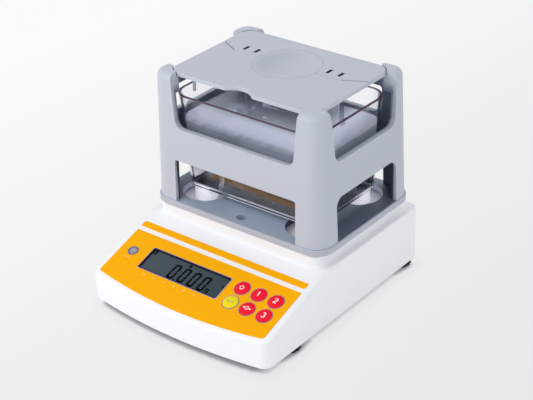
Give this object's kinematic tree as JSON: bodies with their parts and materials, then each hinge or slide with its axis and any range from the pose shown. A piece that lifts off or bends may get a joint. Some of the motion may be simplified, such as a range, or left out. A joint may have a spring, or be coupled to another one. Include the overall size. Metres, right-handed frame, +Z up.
{
  "type": "benchtop density meter",
  "caption": "Benchtop density meter: balance housing with a sloped keypad and display, and a lift-off stand around a clear water tank with a hanging basket.",
  "frame": {"origin": "on the bench under the middle of the housing's footprint", "axes": "+Z up, +X to the user's right, +Y to the rear, so the user stands on the -Y side"},
  "size_m": [0.18, 0.2158, 0.183],
  "materials": {
    "white_gloss": "glossy white moulding",
    "tray_grey": "satin grey moulding",
    "black_foot": "matt black moulding",
    "steel": "bright zinc",
    "alloy": "milled",
    "gauge_film": "thin film",
    "black_rubber": "matt",
    "white_plastic": "satin",
    "stand_grey": "fine satin, cool grey",
    "clear_plastic": "clear, polished",
    "orange_film": "printed film",
    "bezel_grey": "satin",
    "clear_window": "clear, polished",
    "lcd_glass": "satin",
    "board_green": "solder mask",
    "red_key": "glossy",
    "yellow_key": "glossy",
    "black_plastic": "matt",
    "vial_liquid": "clear",
    "brass": "bright"
  },
  "bodies": {
    "housing": {"top_housing": "white_gloss", "bottom_tray": "tray_grey", "foot_nuts": "steel", "tray_screws": "steel", "load_cell": "alloy", "load_cell_gauges": "gauge_film", "load_cell_base": "alloy", "load_spacer": "alloy", "load_spider": "alloy", "leg_cushions": "black_rubber", "load_cell_bolts": "steel", "overload_stops": "steel", "tank_posts": "white_plastic", "post_screws": "steel", "panel_overlay": "orange_film", "header_strip": "orange_film", "display_frame": "bezel_grey", "display_window": "clear_window", "display_glass": "lcd_glass", "display_backlight": "white_plastic", "display_board": "board_green", "key_rings": "bezel_grey", "key_switches": "black_plastic", "key_board": "board_green", "panel_screws": "steel", "level_ring": "bezel_grey", "level_vial": "vial_liquid", "main_board": "board_green", "board_components": "black_plastic", "board_screws": "steel", "power_socket": "black_plastic", "power_socket_pin": "brass", "data_socket": "black_plastic", "socket_screws": "steel"},
    "stand": {"stand_base_plate": "stand_grey", "stand_frame": "stand_grey", "stand_screws": "steel"},
    "tank": {"water_tank": "clear_plastic"},
    "plate": {"weighing_plate": "stand_grey", "basket_tray": "tray_grey", "basket_hangers": "steel"},
    "power_key_cap": {"power_key": "red_key"},
    "a_key_cap": {"a_key": "red_key"},
    "b_key_cap": {"b_key": "red_key"},
    "enter_key_cap": {"enter_key": "yellow_key"},
    "zero_key_cap": {"zero_key": "red_key"},
    "c_key_cap": {"c_key": "red_key"},
    "front_left_foot_wheel": {"front_left_foot": "black_foot"},
    "front_right_foot_wheel": {"front_right_foot": "black_foot"},
    "rear_left_foot_wheel": {"rear_left_foot": "black_foot"},
    "rear_right_foot_wheel": {"rear_right_foot": "black_foot"}
  },
  "joints": [
    {"name": "stand_lift", "type": "slide", "parent": "housing", "child": "stand", "axis": [0, 0, 1], "range_m": [0, 0.12]},
    {"name": "tank_lift", "type": "slide", "parent": "stand", "child": "tank", "axis": [0, 0, 1], "range_m": [0, 0.12]},
    {"name": "plate_lift", "type": "slide", "parent": "tank", "child": "plate", "axis": [0, 0, 1], "range_m": [0, 0.11]},
    {"name": "power_key_press", "type": "slide", "parent": "housing", "child": "power_key_cap", "axis": [0, 0.3074, -0.9516], "range_m": [0, 0.0008], "stiffness_N_per_m": 900, "springref_m": -0.0004},
    {"name": "a_key_press", "type": "slide", "parent": "housing", "child": "a_key_cap", "axis": [0, 0.3074, -0.9516], "range_m": [0, 0.0008], "stiffness_N_per_m": 900, "springref_m": -0.0004},
    {"name": "b_key_press", "type": "slide", "parent": "housing", "child": "b_key_cap", "axis": [0, 0.3074, -0.9516], "range_m": [0, 0.0008], "stiffness_N_per_m": 900, "springref_m": -0.0004},
    {"name": "enter_key_press", "type": "slide", "parent": "housing", "child": "enter_key_cap", "axis": [0, 0.3074, -0.9516], "range_m": [0, 0.0008], "stiffness_N_per_m": 900, "springref_m": -0.0004},
    {"name": "zero_key_press", "type": "slide", "parent": "housing", "child": "zero_key_cap", "axis": [0, 0.3074, -0.9516], "range_m": [0, 0.0008], "stiffness_N_per_m": 900, "springref_m": -0.0004},
    {"name": "c_key_press", "type": "slide", "parent": "housing", "child": "c_key_cap", "axis": [0, 0.3074, -0.9516], "range_m": [0, 0.0008], "stiffness_N_per_m": 900, "springref_m": -0.0004},
    {"name": "front_left_foot_turn", "type": "hinge", "parent": "housing", "child": "front_left_foot_wheel", "pos_m": [-0.0785, -0.0579, 0], "axis": [0, 0, 1], "continuous": true},
    {"name": "front_right_foot_turn", "type": "hinge", "parent": "housing", "child": "front_right_foot_wheel", "pos_m": [0.0785, -0.0579, 0], "axis": [0, 0, 1], "continuous": true},
    {"name": "rear_left_foot_turn", "type": "hinge", "parent": "housing", "child": "rear_left_foot_wheel", "pos_m": [-0.0785, 0.0969, 0], "axis": [0, 0, 1], "continuous": true},
    {"name": "rear_right_foot_turn", "type": "hinge", "parent": "housing", "child": "rear_right_foot_wheel", "pos_m": [0.0785, 0.0969, 0], "axis": [0, 0, 1], "continuous": true}
  ]
}
